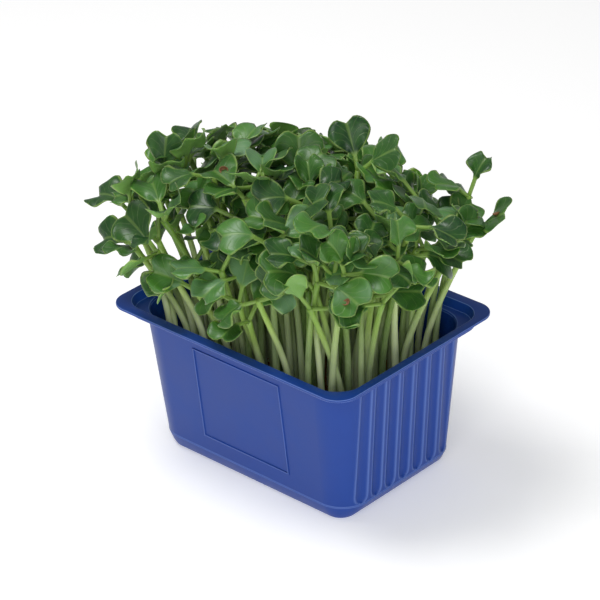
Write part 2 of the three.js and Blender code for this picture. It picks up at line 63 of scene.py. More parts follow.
FOOT_CURVE = (79.7, 52.5, 7.8)
FOOT_CURVE_HEIGHT = 2
FOOT_CREASE = 0.15
BASE = (75.6, 50, 5)
WALL = 1
CORNER_STEPS = 36
END_CUTS = 141
FOLD_ANGLE = 19
EDGE_ROUND = 0.28


def wall_at(height):
    """The wall's outer face at a height in mm: its length, width and corner radius."""
    rise = (height - WALL_FOOT_HEIGHT) / (WALL_HEAD_HEIGHT - WALL_FOOT_HEIGHT)
    return tuple(foot + (head - foot) * rise for foot, head in zip(WALL_FOOT, WALL_HEAD))


def grown(outline, outset):
    """A rounded rectangle moved outwards by an offset in mm."""
    length, width, corner = outline
    return length + 2 * outset, width + 2 * outset, corner + outset


def rounded_loop(bm, outline, height, end_cuts=0):
    """Adds a loop of edges, a rectangle with round corners, and gives its edges."""
    length, width, corner = (size * MM for size in outline)
    before = set(bm.edges)
    place = Matrix.Translation((0, 0, height * MM)) @ Matrix.Diagonal((length, width, 1, 1))
    made = bmesh.ops.create_grid(bm, x_segments=1, y_segments=1, size=0.5, matrix=place)
    sheet = made["verts"][0].link_faces[0]
    bmesh.ops.delete(bm, geom=[sheet], context="FACES_ONLY")
    bmesh.ops.bevel(
        bm,
        geom=made["verts"],
        offset=corner,
        offset_type="OFFSET",
        segments=CORNER_STEPS,
        profile=0.5,
        affect="VERTICES",
        material=-1,
    )
    if end_cuts:
        ends = [
            edge
            for edge in bm.edges
            if edge not in before and all(abs(abs(v.co.x) - length / 2) < 1e-7 for v in edge.verts)
        ]
        bmesh.ops.subdivide_edges(bm, edges=ends, cuts=end_cuts)
    return [edge for edge in bm.edges if edge not in before]


def bridge_all(bm, loops):
    """Skins a chain of loops, each to the next, which is lifted meanwhile out of a shared plane."""
    lift = Vector((0, 0, 0.1 * MM))
    for first, second in zip(loops, loops[1:]):
        rim = list({vert for edge in second for vert in edge.verts})
        bmesh.ops.translate(bm, verts=rim, vec=lift)
        bmesh.ops.bridge_loops(bm, edges=first + second)
        bmesh.ops.translate(bm, verts=rim, vec=-lift)


def new_object(name, bm, *materials):
    """Turns a bmesh into a smooth-shaded object that stands at the origin."""
    mesh = bpy.data.meshes.new(name)
    for face in bm.faces:
        face.smooth = True
    bm.to_mesh(mesh)
    bm.free()
    made = bpy.data.objects.new(name, mesh)
    bpy.context.scene.collection.objects.link(made)
    for material in materials:
        mesh.materials.append(material)
    return made


tray_bm = bmesh.new()
underside = tray_high.z - FLANGE_THICKNESS
wall_heights = [5.4, 5.7, 6, 6.4, 6.8, 7.3, 7.8, 8.4, *range(11, 48, 3), 48.6]
tray_profile = [
    (BASE, 0),
    (FOOT_CURVE, FOOT_CURVE_HEIGHT),
    (grown(WALL_FOOT, FOOT_CREASE), WALL_FOOT_HEIGHT),
    *((wall_at(height), height) for height in wall_heights),
    (WALL_HEAD, WALL_HEAD_HEIGHT),
    (grown(MOUTH, 0.4), WALL_HEAD_HEIGHT + 0.3),
    (grown(MOUTH, 0.7), underside),
    (FLANGE, underside),
    (FLANGE, tray_high.z),
    (MOUTH, tray_high.z),
    (grown(MOUTH, -0.9), LEDGE_HEIGHT),
    (grown(WALL_HEAD, -WALL + 0.4), LEDGE_HEIGHT),
    (grown(WALL_HEAD, -WALL), LEDGE_HEIGHT - 0.6),
    *((grown(wall_at(height), -WALL), height) for height in (48.8, 36, 22, 9, 7)),
    (grown(WALL_FOOT, -WALL), WALL_FOOT_HEIGHT + 0.3),
    (grown(BASE, -WALL), WALL),
]
tray_loops = [rounded_loop(tray_bm, outline, height, END_CUTS) for outline, height in tray_profile]
bridge_all(tray_bm, tray_loops)
bmesh.ops.contextual_create(tray_bm, geom=tray_loops[0])
bmesh.ops.contextual_create(tray_bm, geom=tray_loops[-1])
bmesh.ops.recalc_face_normals(tray_bm, faces=tray_bm.faces)
folds = [edge for edge in tray_bm.edges if edge.calc_face_angle(0) > math.radians(FOLD_ANGLE)]
rounded = bmesh.ops.bevel(
    tray_bm,
    geom=folds,
    offset=EDGE_ROUND * MM,
    offset_type="OFFSET",
    segments=3,
    profile=0.5,
    affect="EDGES",
    clamp_overlap=True,
    material=-1,
)["faces"]

# Painted highlight: the sharp edges of the film catch thin light lines, and are painted a little paler.
HIGHLIGHT_FLANGE, HIGHLIGHT_EDGE, HIGHLIGHT_FLUTE, HIGHLIGHT_BEAD = 0.6, 0.35, 0.4, 0.25
HIGHLIGHT_WIDTH = 0.35
painted_highlight = tray_bm.verts.layers.float.new("painted_highlight")
rounded = set(rounded)
# Painted highlight on the rounded folds, strongest along the flange's edge.
for vert in tray_bm.verts:
    if rounded.issuperset(vert.link_faces):
        vert[painted_highlight] = HIGHLIGHT_FLANGE if vert.co.z > (underside - 0.5) * MM else HIGHLIGHT_EDGE

# Seven hollow flutes stiffen each short end. They start round above the foot and run up into the
# ledge. The film is drawn thinner over them, so the inside swells less than the outside sinks.
FLUTE_COUNT = 7
FLUTE_PITCH = 6.55
FLUTE_HALF = 2.4
FLUTE_DEPTH = 1
FLUTE_STATIONS = ([5.5, 6, 6.4, 7, 8.2, 49.1], [0, 0.6, 0.8, 0.92, 1, 1], [0.2, 0.62, 0.78, 0.9, 1, 1])
SWELL_HEIGHT = 0.6
SWELL_STATIONS = ([7, 9, 48.9], [0, 1, 1], [0.6, 1, 1])
ON_FACE = 0.3


def flute_at(across, height, deepest, stations):
    """How far a flute moves a face of the end wall inwards, and how far off its edge is, in mm."""
    heights, depths, widths = stations
    if not heights[0] <= height <= heights[-1]:
        return 0, FLUTE_PITCH
    nearest = min(max(round(across / FLUTE_PITCH), -(FLUTE_COUNT // 2)), FLUTE_COUNT // 2)
    half_width = FLUTE_HALF * np.interp(height, heights, widths)
    share = (across - nearest * FLUTE_PITCH) / half_width
    sunk = deepest * np.interp(height, heights, depths) * (1 - share * share)
    return max(0, sunk), (1 - abs(share)) * half_width


for vert in tray_bm.verts:
    x, y, z = vert.co / MM
    length, width, corner = wall_at(z)
    past = max(0, abs(y) - (width / 2 - corner))
    if z <= FLUTE_STATIONS[0][-1] and past < corner - WALL:
        outside, inside = (
            length / 2 - corner + math.sqrt(round_off * round_off - past * past)
            for round_off in (corner, corner - WALL)
        )
        # On the outer face the flutes sink, and a painted highlight pales their edges.
        if abs(abs(x) - outside) < ON_FACE:
            sunk, edge_gap = flute_at(y, z, FLUTE_DEPTH, FLUTE_STATIONS)
            vert.co.x -= math.copysign(sunk * MM, x)
            vert[painted_highlight] = max(vert[painted_highlight], HIGHLIGHT_FLUTE * math.exp(-((edge_gap / HIGHLIGHT_WIDTH) ** 2)))
        elif abs(abs(x) - inside) < ON_FACE:
            vert.co.x -= math.copysign(flute_at(y, z, SWELL_HEIGHT, SWELL_STATIONS)[0] * MM, x)

# A thin raised bead frames a bare panel on each long side. It is part of the same moulding.
PANEL_WIDTH = 37
PANEL_LOW, PANEL_HIGH = 11, 45
BEAD = 0.6
BEAD_PROUD = 0.35
BEAD_SUNK = 0.45
BEAD_ROUND = 0.2
low_side, high_side = wall_at(PANEL_LOW)[1] / 2, wall_at(PANEL_HIGH)[1] / 2
slope = math.atan2(high_side - low_side, PANEL_HIGH - PANEL_LOW)
panel_tall = (PANEL_HIGH - PANEL_LOW) / math.cos(slope)
for half_turn in (0, math.pi):
    place = Matrix.Diagonal((PANEL_WIDTH * MM, panel_tall * MM, 1, 1))
    corners = bmesh.ops.create_grid(tray_bm, x_segments=1, y_segments=1, size=0.5, matrix=place)["verts"]
    panel = corners[0].link_faces[0]
    rim = bmesh.ops.inset_region(
        tray_bm, faces=[panel], thickness=BEAD * MM, use_boundary=True, use_even_offset=True
    )["faces"]
    bmesh.ops.delete(tray_bm, geom=[panel], context="FACES")
    raised = bmesh.ops.extrude_face_region(tray_bm, geom=rim, use_keep_orig=True)["geom"]
    top = [item for item in raised if isinstance(item, bmesh.types.BMVert)]
    bmesh.ops.translate(tray_bm, verts=top, vec=(0, 0, (BEAD_PROUD + BEAD_SUNK) * MM))
    top_edges = [
        edge
        for edge in raised
        if isinstance(edge, bmesh.types.BMEdge) and edge.calc_face_angle(0) > math.radians(40)
    ]
    bmesh.ops.bevel(
        tray_bm,
        geom=top_edges,
        offset=BEAD_ROUND * MM,
        offset_type="OFFSET",
        segments=2,
        profile=0.5,
        affect="EDGES",
        material=-1,
    )
    bead = set()
    queue = [corners[0]]
    while queue:
        vert = queue.pop()
        if vert not in bead:
            bead.add(vert)
            queue.extend(edge.other_vert(vert) for edge in vert.link_edges)
    lay = (
        Matrix.Rotation(half_turn, 4, "Z")
        @ Matrix.Translation((0, -low_side * MM, PANEL_LOW * MM))
        @ Matrix.Rotation(math.pi / 2 + slope, 4, "X")
        @ Matrix.Translation((0, panel_tall / 2 * MM, -BEAD_SUNK * MM))
    )
    # Painted highlight on the bead's top; the rest of the bead has none.
    for vert in bead:
        vert[painted_highlight] = HIGHLIGHT_BEAD if vert.co.z > 0.99 * (BEAD_PROUD + BEAD_SUNK) * MM else 0
    bmesh.ops.transform(tray_bm, matrix=lay, verts=list(bead))
    bmesh.ops.recalc_face_normals(tray_bm, faces=list({f for vert in bead for f in vert.link_faces}))


def linear(code):
    """An sRGB hex colour as linear light, with alpha."""
    parts = [int(code[i : i + 2], 16) / 255 for i in (1, 3, 5)]
    return [p / 12.92 if p <= 0.04045 else ((p + 0.055) / 1.055) ** 2.4 for p in parts] + [1.0]


def add_node(tree, kind, inputs=None, **settings):
    """Adds a shader node with its settings, its values and its links."""
    made = tree.nodes.new("ShaderNode" + kind)
    for name, value in settings.items():
        setattr(made, name, value)
    for name, value in (inputs or {}).items():
        if isinstance(value, bpy.types.NodeSocket):
            tree.links.new(value, made.inputs[name])
        else:
            made.inputs[name].default_value = value
    return made


# Polypropylene film, pigmented blue and vacuum-formed. The mould leaves a soft sheen, with faint
# clouds where the film was stretched and a fine skin that breaks up the highlights. The real skin
# has a grain of about 0.3 mm, and is drawn coarser here so that it shows.
polypropylene = bpy.data.materials.new("polypropylene, vacuum-formed, blue")
polypropylene.use_nodes = True
tree = polypropylene.node_tree
plastic = tree.nodes["Principled BSDF"]
place = add_node(tree, "TexCoord").outputs["Object"]
CLOUD = 14
SKIN = 0.9
clouds = add_node(
    tree, "TexNoise", {"Vector": place, "Scale": 1 / (CLOUD * MM), "Detail": 3, "Roughness": 0.55}
)
skin = add_node(
    tree, "TexNoise", {"Vector": place, "Scale": 1 / (SKIN * MM), "Detail": 2, "Roughness": 0.5}
)
tone = add_node(
    tree,
    "Mix",
    {"Factor": clouds.outputs["Fac"], "A": linear("#0e378a"), "B": linear("#144298")},
    data_type="RGBA",
)
# Painted highlight: this attribute mixes a pale blue into the colour along the edges that catch light.
painted_highlight_share = add_node(tree, "Attribute", attribute_name="painted_highlight").outputs["Fac"]
highlighted = add_node(
    tree,
    "Mix",
    {"Factor": painted_highlight_share, "A": tone.outputs["Result"], "B": linear("#7d9be0")},
    data_type="RGBA",
)
tree.links.new(highlighted.outputs["Result"], plastic.inputs["Base Color"])
gloss = add_node(
    tree,
    "MapRange",
    {"Value": clouds.outputs["Fac"], "From Min": 0.3, "From Max": 0.7, "To Min": 0.34, "To Max": 0.46},
)
tree.links.new(gloss.outputs["Result"], plastic.inputs["Roughness"])
relief = add_node(
    tree, "Bump", {"Height": clouds.outputs["Fac"], "Strength": 0.25, "Distance": 0.4 * MM}
)
fine_relief = add_node(
    tree,
    "Bump",
    {
        "Height": skin.outputs["Fac"],
        "Strength": 0.12,
        "Distance": 0.05 * MM,
        "Normal": relief.outputs["Normal"],
    },
)
tree.links.new(fine_relief.outputs["Normal"], plastic.inputs["Normal"])
plastic.inputs["IOR"].default_value = 1.49
plastic.inputs["Specular IOR Level"].default_value = 0.35

tray = new_object("tray_shell", tray_bm, polypropylene)
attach(tray, "root")
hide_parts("tray")

# The growing mat
# A block of felted brown fibre, pressed to the tray's shape and soaked. The stems grow out of it,
# and its top is lumpy, with loose fibres that stand up between them.
MAT_GAP = 0.4
MAT_EDGE = 29.6
MAT_CROWN = 31
MAT_BUMP = 0.7
MAT_SHARES = [0.97, 0.93, *np.arange(0.88, 0.03, -0.06)]
MAT_LONG_EDGE = 3
MAT_CUTS = 20


def mat_top(x, y):
    """The height of the mat's top, in mm."""
    swell = math.sin(0.31 * x + 1) * math.cos(0.37 * y)
    grain = math.sin(0.83 * x - 0.69 * y)
    tufts = noise.fractal(Vector((x, y, 0)) * 0.9, 0.8, 2.2, 4)
    return MAT_CROWN + MAT_BUMP * (swell + 0.5 * grain + 0.45 * tufts)


mat_foot = WALL + MAT_GAP
mat_bm = bmesh.new()


def mat_outline(height):
    """The mat's side at a height, clear of the walls and of the swellings at the ends."""
    length, width, corner = grown(wall_at(height), -mat_foot)
    return length - 2 * SWELL_HEIGHT, width, corner


mat_side = mat_outline(MAT_EDGE)
mat_loops = [
    rounded_loop(mat_bm, grown(BASE, -mat_foot), mat_foot),
    rounded_loop(mat_bm, mat_outline(WALL_FOOT_HEIGHT + 0.8), WALL_FOOT_HEIGHT + 0.8),
    rounded_loop(mat_bm, mat_side, MAT_EDGE),
]
mat_loops += [
    rounded_loop(mat_bm, tuple(size * share for size in mat_side), MAT_CROWN, 0) for share in MAT_SHARES
]
bridge_all(mat_bm, mat_loops)
bmesh.ops.contextual_create(mat_bm, geom=mat_loops[0])
bmesh.ops.contextual_create(mat_bm, geom=mat_loops[-1])
top_faces = [face for face in mat_bm.faces if all(v.co.z > (MAT_CROWN - 0.1) * MM for v in face.verts)]
top_edges = {edge for face in top_faces for edge in face.edges}
long_edges = [edge for edge in top_edges if edge.calc_length() > MAT_LONG_EDGE * MM]
bmesh.ops.subdivide_edges(mat_bm, edges=long_edges, cuts=MAT_CUTS, use_grid_fill=True)
for vert in mat_bm.verts:
    if vert.co.z > (MAT_CROWN - 0.1) * MM:
        vert.co.z = mat_top(vert.co.x / MM, vert.co.y / MM) * MM
bmesh.ops.recalc_face_normals(mat_bm, faces=mat_bm.faces)

# Coir and jute fibre, felted: reddish brown with darker pits, dull, and rough at every scale.
fibre = bpy.data.materials.new("coir fibre, felted, wet brown")
fibre.use_nodes = True
tree = fibre.node_tree
place = add_node(tree, "TexCoord").outputs["Object"]
TUFT = 2.5
STRAND = 0.35
tufts = add_node(
    tree, "TexNoise", {"Vector": place, "Scale": 1 / (TUFT * MM), "Detail": 6, "Roughness": 0.7}
)
strands = add_node(
    tree,
    "TexWave",
    {"Vector": place, "Scale": 0.3 / (STRAND * MM), "Distortion": 14, "Detail": 3, "Detail Scale": 2},
)
tone = add_node(
    tree,
    "Mix",
    {"Factor": tufts.outputs["Fac"], "A": linear("#6a3817"), "B": linear("#c4834a")},
    data_type="RGBA",
)
rough = tree.nodes["Principled BSDF"]
tree.links.new(tone.outputs["Result"], rough.inputs["Base Color"])
rough.inputs["Roughness"].default_value = 0.9
relief = add_node(
    tree, "Bump", {"Height": strands.outputs["Fac"], "Strength": 0.8, "Distance": 0.3 * MM}
)
tree.links.new(relief.outputs["Normal"], rough.inputs["Normal"])

mat_piece = new_object("fibre_mat", mat_bm, fibre)
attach(mat_piece, "root")
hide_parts("growing_mat")

# The seedlings
# Each is one grown piece: a juicy stem, two short stalks and two notched seed leaves, one larger.
# They are placed by the rule that places the solids, from the same seed, so each fine seedling
# stands where its solid stands. This part works in millimetres.
OUTLINE = [
    ((-31, -13), (-41.5, -17, 91), ((112, 78, 68, 0, 0.88), (-30, 62, 44, 0, 0.78))),
    ((-34, -16), (-52, -23, 79), ((184, 38, -24, -12, 1.05), (70, 58, 30, 0, 0.9))),
    ((-30, -20), (-42, -31, 73), ((192, 24, -34, -34, 0.95), (285, 36, -14, 0, 0.8))),
    ((-22, -21), (-29, -34, 77), ((172, 32, 18, -50, 1.05), (262, -6, -26, 40, 0.85))),
    ((34.5, 18), (46, 30, 82), ((2, 48, 30, 26, 1), (196, 48, 0, 0, 0.8))),
    ((29, 22), (38.5, 37, 90), ((80, 66, 52, 0, 0.7), (246, 46, 10, 0, 0.9))),
    ((12, 10), (15, 12, 101), ((162, 66, 60, -20, 0.95), (30, 40, 26, 34, 0.92))),
    ((-6, 7), (-6, 8, 90), ((134, 78, 66, 0, 1.08), (-50, 24, -34, 0, 0.9))),
    ((3, -21), (3, -31, 69), ((190, 14, -34, -46, 1), (95, 66, 60, 0, 0.9))),
    ((14, -21), (14, -34, 75), ((14, 26, 16, 44, 0.85), (235, -6, -52, 0, 0.8))),
    ((33, -7), (43, -14, 78), ((223, 52, 34, -50, 1.1), (40, 12, -8, 30, 0.95))),
    ((33.5, -18), (31, -29, 76), ((262, 58, 40, 30, 0.85), (28, 12, -24, 22, 0.95))),
    ((-12, -20.5), (-17, -30, 66), ((223, 34, 20, -48, 0.95), (40, 42, 28, 48, 0.85))),
]
ROOT_ROWS, ROOT_COLUMNS = 6, 9
ROOT_REACH = (34.5, 21.5)
ROOT_JITTER = 1.7
ROOT_APART = 5.2
CLEAR_OF_MAT = 33
TWIN_APART = 1.3
MOST_TWINS = 28
TRIES = 800
SEED = 2024
SPREAD = (1.28, 1.38)
CROWN_JITTER = 5
CROWN_FRONT, CROWN_BACK, CROWN_HIGH = 63, 80, 99
CANOPY_TOP, CANOPY_FLOOR = 113, 60
EDGE_DROP, SIDE_DROP, BACK_DROP = 4, 0.1, 0.3
RIGHT_LIFT = 0.34
CANOPY_REACH = (66, 52)
LEAF_LENGTH = 13.6
LEAF_HALF_WIDTH = 7.5
LEAF_STALK = 6
SMALLER_LEAF = 0.88
NOTCH = 0.2
SHOULDER = 0.55
STALK_HALF_WIDTH = 0.75
STEM_REACH, STALK_REACH, BLADE_REACH = 1.3, 0.9, 0.95
TILT_MIDDLE, TILT_EDGE = 12, 48


def repeatable(seed):
    """A source of random numbers that gives the same numbers each time it is run."""
    state = seed

    def draw(low, high):
        nonlocal state
        state = state * 16807 % 2147483647
        return low + (high - low) * state / 2147483647

    return draw


def unit(vectors):
    return vectors / np.linalg.norm(vectors, axis=-1, keepdims=True)


def edge_share(x, y):
    """How far out a place is, from 0 in the middle to 1 over the tray's wall."""
    return np.minimum(1, np.hypot(x / (WALL_HEAD[0] / 2), y / (WALL_HEAD[1] / 2)))


def stem_points(seedling, shares):
    """Points on a stem's line, which goes straight up out of the mat and then leans out."""
    start = np.array([*seedling["root"], CLEAR_OF_MAT], float)
    crown = seedling["crown"]
    rise = crown[2] - start[2]
    low = start + (0, 0, rise * 0.35)
    high = crown - seedling["lean"] * rise * 0.4
    t = np.asarray(shares, float)[:, None]
    k = 1 - t
    return k**3 * start + 3 * k * k * t * low + 3 * k * t * t * high + t**3 * crown


def midrib(crown, leaf):
    """The line of a leaf's stalk and midrib, as a function of the distance run along it."""
    heading = np.array([math.cos(leaf["turn"]), math.sin(leaf["turn"]), 0])
    rise, fall = (
        heading * math.cos(leaf[key]) + (0, 0, math.sin(leaf[key])) for key in ("rise", "fall")
    )
    total = leaf["stalk"] + leaf["length"]
    bend = crown + rise * total / 2
    tip = bend + fall * total / 2
    level = np.array([-heading[1], heading[0], 0])

    def curve(t):
        t = t[..., None]
        return (1 - t) ** 2 * crown + 2 * (1 - t) * t * bend + t * t * tip

    def frame_at(run):
        t = np.asarray(run, float) / total
        way = unit(curve(np.minimum(t + 1e-4, 1)) - curve(np.maximum(t - 1e-4, 0)))
        up = np.cross(way, level)
        side = level * math.cos(leaf["roll"]) + up * math.sin(leaf["roll"])
        face = up * math.cos(leaf["roll"]) - level * math.sin(leaf["roll"])
        return curve(t), side, face

    return frame_at


def blade_points(crown, leaf, along, across):
    """Points on a blade and the way its upper face looks. Along runs from the stalk to the lobes,
    across from -1 to 1. The far edge is round and notched, and the blade is folded and cupped."""
    dome = SHOULDER + (1 - SHOULDER) * np.sqrt(1 - across * across)
    reach = dome * (1 - NOTCH * np.exp(-((across / 0.3) ** 2)))
    base = STALK_HALF_WIDTH / leaf["half_width"]
    spread = base + (1 - base) * np.sin(math.pi / 2 * along) ** 1.3
    width = leaf["half_width"] * spread * across
    point, side, face = midrib(crown, leaf)(leaf["stalk"] + leaf["length"] * reach * along)
    lift = np.abs(width) * math.sin(leaf["fold"]) + leaf["cup"] * width * width / leaf["half_width"]
    return point + side * (width * math.cos(leaf["fold"]))[:, None] + face * lift[:, None], face


BLADE_ROWS = [(0.3, 2), (0.5, 4), (0.7, 6), (0.86, 8), (1, 10)]
SAMPLE_ALONG = np.concatenate([[along] * (count + 1) for along, count in BLADE_ROWS])
SAMPLE_ACROSS = np.concatenate([2 * np.arange(count + 1) / count - 1 for _, count in BLADE_ROWS])
STEM_SAMPLES = np.arange(25) / 24
FREE_STEM_SAMPLES = 20


def reach_of(seedling):
    """Points that stand for a seedling when it is kept clear of its neighbours, with their radii."""
    stem = stem_points(seedling, STEM_SAMPLES)
    blades, stalks = [], []
    for leaf in seedling["leaves"]:
        stalk = midrib(seedling["crown"], leaf)(np.array([0.35, 0.7, 1]) * leaf["stalk"])[0]
        stalks.append(stalk)
        blades.append(blade_points(seedling["crown"], leaf, SAMPLE_ALONG, SAMPLE_ACROSS)[0])
    points = np.concatenate([stem, *stalks, *blades])
    counts = (len(stem), 2 * len(stalks[0]), 2 * len(blades[0]))
    radii = np.repeat([STEM_REACH, STALK_REACH, BLADE_REACH], counts)
    return {"stem": stem, "blades": blades, "points": points, "radii": radii}


def clear_of_tray(reach):
    """Stems keep off the tray's walls, and leaves stay within the head. Its top is lower at its edge
    and towards the back, and its underside is higher to the right."""
    x, y, z = reach["points"][len(reach["stem"]) :].T
    top = CANOPY_TOP - EDGE_DROP * edge_share(x, y) ** 2
    top = top - SIDE_DROP * np.abs(x) - BACK_DROP * np.maximum(0, y)
    floor = CANOPY_FLOOR + RIGHT_LIFT * np.maximum(0, x)
    within = np.hypot(x / CANOPY_REACH[0], y / CANOPY_REACH[1]) < 1
    if not np.all(within & (z > floor) & (z < top)):
        return False
    low = reach["stem"][reach["stem"][:, 2] <= tray_high.z + 2]
    length, width, corner = (np.array(size) for size in wall_at(np.minimum(low[:, 2], WALL_HEAD_HEIGHT)))
    x = np.maximum(0, np.abs(low[:, 0]) - (length / 2 - corner))
    y = np.maximum(0, np.abs(low[:, 1]) - (width / 2 - corner))
    return bool(np.all(np.hypot(x, y) < corner - (WALL + 0.4 + STEM_REACH)))


def far_apart(first, second, distance):
    gaps = ((first[:, None] - second[None]) ** 2).sum(-1)
    return bool(np.all(gaps > distance * distance))


def clear_of_itself(reach):
    """A seedling's blades keep off each other and off their own stem."""
    one, other = reach["blades"]
    stem = reach["stem"][:FREE_STEM_SAMPLES]
    if not far_apart(one, other, 2 * BLADE_REACH):
        return False
    return all(far_apart(stem, blade, STEM_REACH + BLADE_REACH) for blade in (one, other))


class Crowd:
    """The room that the seedlings planted so far take up."""

    def __init__(self):
        self.points = np.zeros((0, 3))
        self.radii = np.zeros(0)

    def add(self, reach):
        self.points = np.concatenate([self.points, reach["points"]])
        self.radii = np.concatenate([self.radii, reach["radii"]])
        self.tree = KDTree(len(self.points))
        for i, point in enumerate(self.points):
            self.tree.insert(point, i)
        self.tree.balance()

    def keeps_off(self, points, radii, share=1):
        """Whether all points keep off the crowd. Share makes the distances smaller."""
        for point, radius in zip(points[::-1], radii[::-1]):
            for _, i, _ in self.tree.find_range(point, (radius + STEM_REACH) * share + 0.01):
                apart = (radius + self.radii[i]) * share
                if ((point - self.points[i]) ** 2).sum() <= apart * apart:
                    return False
        return True


def lean_of(root, crown, draw):
    outward = np.array([crown[0] - root[0], crown[1] - root[1], 0]) * 0.035
    return unit(outward + (draw(-0.12, 0.12), draw(-0.12, 0.12), 1))


def draw_seedling(root, draw, crowding):
    """A seedling that leans out from the middle, with its leaves on opposite sides. The whole head
    tilts to face outwards. Crowding, from 0 to 1, makes leaves stand up, fold and stay smaller."""
    depth = min(max((root[1] + ROOT_REACH[1]) / ROOT_REACH[1], 0), 1)
    depth = depth * depth * (3 - 2 * depth)
    low = CROWN_FRONT * (1 - depth) + CROWN_BACK * depth
    jitter = CROWN_JITTER * (1 + crowding)
    x = root[0] * SPREAD[0] + draw(-jitter, jitter)
    y = root[1] * SPREAD[1] + draw(-jitter, jitter)
    crown = np.array([x, y, draw(low, CROWN_HIGH)])
    lean = lean_of(root, crown, draw)
    turn = draw(0, 2 * math.pi)
    outward = math.atan2(crown[1], crown[0])
    share = edge_share(root[0], root[1])
    tilt = (TILT_MIDDLE * (1 - share) + TILT_EDGE * share) * draw(0.6, 1.2)
    leaves = []
    for i, smaller in enumerate((1, SMALLER_LEAF)):
        size = smaller * (1 - 0.15 * crowding)
        heading = turn + i * math.pi + draw(-0.5, 0.5)
        level = draw(5, 48) + 30 * crowding
        towards = math.cos(heading - outward) * tilt
        leaf = {
            "turn": heading,
            "rise": math.radians(level + draw(0, 24) - towards),
            "fall": math.radians(level - draw(14, 56) - towards),
            "stalk": LEAF_STALK * draw(0.75, 1.25),
            "length": LEAF_LENGTH * size * draw(0.92, 1.08),
            "half_width": LEAF_HALF_WIDTH * size * draw(0.92, 1.08),
            "fold": math.radians(draw(-8, 30) + 18 * crowding),
            "cup": draw(-0.12, 0.16),
            "roll": math.radians(math.sin(heading - outward) * tilt + draw(-16, 16)),
        }
        leaves.append(leaf)
    return {"root": root, "crown": crown, "lean": lean, "leaves": leaves}


def set_seedling(entry, draw):
    """A seedling of the outline, whose numbers are listed."""
    root, crown, leaves = entry
    crown = np.array(crown, float)
    lean = lean_of(root, crown, draw)
    set_leaves = []
    for turn, rise, fall, roll, size in leaves:
        leaf = {
            "turn": math.radians(turn),
            "rise": math.radians(rise),
            "fall": math.radians(fall),
            "stalk": LEAF_STALK * draw(0.7, 1),
            "length": LEAF_LENGTH * size,
            "half_width": LEAF_HALF_WIDTH * size,
            "fold": math.radians(draw(2, 20)),
            "cup": draw(-0.08, 0.12),
            "roll": math.radians(roll),
        }
        set_leaves.append(leaf)
    return {"root": root, "crown": crown, "lean": lean, "leaves": set_leaves}


def root_places(draw):
    """A loose grid of roots, away from the listed ones."""
    places = []
    for row in range(ROOT_ROWS):
        for column in range(ROOT_COLUMNS):
            x = (2 * column / (ROOT_COLUMNS - 1) - 1) * ROOT_REACH[0] + draw(-ROOT_JITTER, ROOT_JITTER)
            y = (2 * row / (ROOT_ROWS - 1) - 1) * ROOT_REACH[1] + draw(-ROOT_JITTER, ROOT_JITTER)
            if all(math.hypot(x - root[0], y - root[1]) > ROOT_APART for root, _, _ in OUTLINE):
                places.append((x, y))
    return places


def grow(clump, foot, draw, crowd, tries=TRIES, share=1):
    """Draws seedlings on a foot until one keeps clear of the others, and plants it."""
    for i in range(tries):
        seedling = draw_seedling(foot, draw, i / tries)
        reach = reach_of(seedling)
        if not clear_of_tray(reach) or not clear_of_itself(reach):
            continue
        high = reach["points"][:, 2] > tray_high.z if clump["seedlings"] else slice(None)
        if crowd.keeps_off(reach["points"][high], reach["radii"][high], share):
            crowd.add(reach)
            clump["seedlings"].append(seedling)
            return True
    return False


draw = repeatable(SEED)
crowd = Crowd()
clumps = [{"root": entry[0], "seedlings": [set_seedling(entry, draw)]} for entry in OUTLINE]
for clump in clumps:
    crowd.add(reach_of(clump["seedlings"][0]))
drawn = [{"root": root, "seedlings": []} for root in root_places(draw)]
clumps += drawn
for clump in drawn:
    grow(clump, clump["root"], draw, crowd)
twins = 0
for clump in clumps:
    turn = draw(0, 2 * math.pi)
    foot = (
        clump["root"][0] + TWIN_APART * math.cos(turn),
        clump["root"][1] + TWIN_APART * math.sin(turn),
    )
    if twins < MOST_TWINS and len(clump["seedlings"]) == 1 and grow(clump, foot, draw, crowd):
        twins += 1
clumps = [clump for clump in clumps if clump["seedlings"]]

# The tray holds more seedlings than its solids do. The rest come up between them, a little more
# crowded, by the same rule with numbers of their own, until the head is as dense as a ripe one.
MORE_ROWS, MORE_COLUMNS = 14, 20
MORE_JITTER = 1.2
MORE_TRIES = 70
MORE_ROOM = 0.35
MORE_APART_FRONT, MORE_APART_BACK = 4, 2.1
more_draw = repeatable(1201)
more_places = [
    (
        (2 * column / (MORE_COLUMNS - 1) - 1) * (ROOT_REACH[0] + 1) + more_draw(-MORE_JITTER, MORE_JITTER),
        (2 * row / (MORE_ROWS - 1) - 1) * (ROOT_REACH[1] + 1) + more_draw(-MORE_JITTER, MORE_JITTER),
    )
    for row in range(MORE_ROWS)
    for column in range(MORE_COLUMNS)
]
more_places.sort(key=lambda place: (place[0] * 7.31 + place[1] * 3.17) % 1)
more_clumps = []
taken_roots = [seedling["root"] for clump in clumps for seedling in clump["seedlings"]]
for place in more_places:
    apart = np.interp(place[1], (-ROOT_REACH[1], ROOT_REACH[1] / 3), (MORE_APART_FRONT, MORE_APART_BACK))
    if any(math.hypot(place[0] - x, place[1] - y) < apart for x, y in taken_roots):
        continue
    clump = {"root": place, "seedlings": []}
    if grow(clump, place, more_draw, crowd, MORE_TRIES, MORE_ROOM):
        more_clumps.append(clump)
        taken_roots.append(place)

# Every seedling is shaped from one tube for the stem and one for each leaf with its stalk. A leaf
# tube starts round at the crown, flattens into the blade, and is closed along its far edge.
STEM_SIDES, STEM_STEPS = 10, 12
LEAF_SIDES, LEAF_STEPS = 32, 16
STALK_STEPS = 4
STEM_FOOT = 27
ROOT_RADIUS = 1.25
CROWN_RADIUS = 0.88
STALK_THICK = 0.6
BLADE_THICK = 0.34
FORK_SWELLING = 0.18
TIP_CURL = 1.3
GIRTH = (0.82, 1.05)
RUFFLE = (0.5, 1.5)


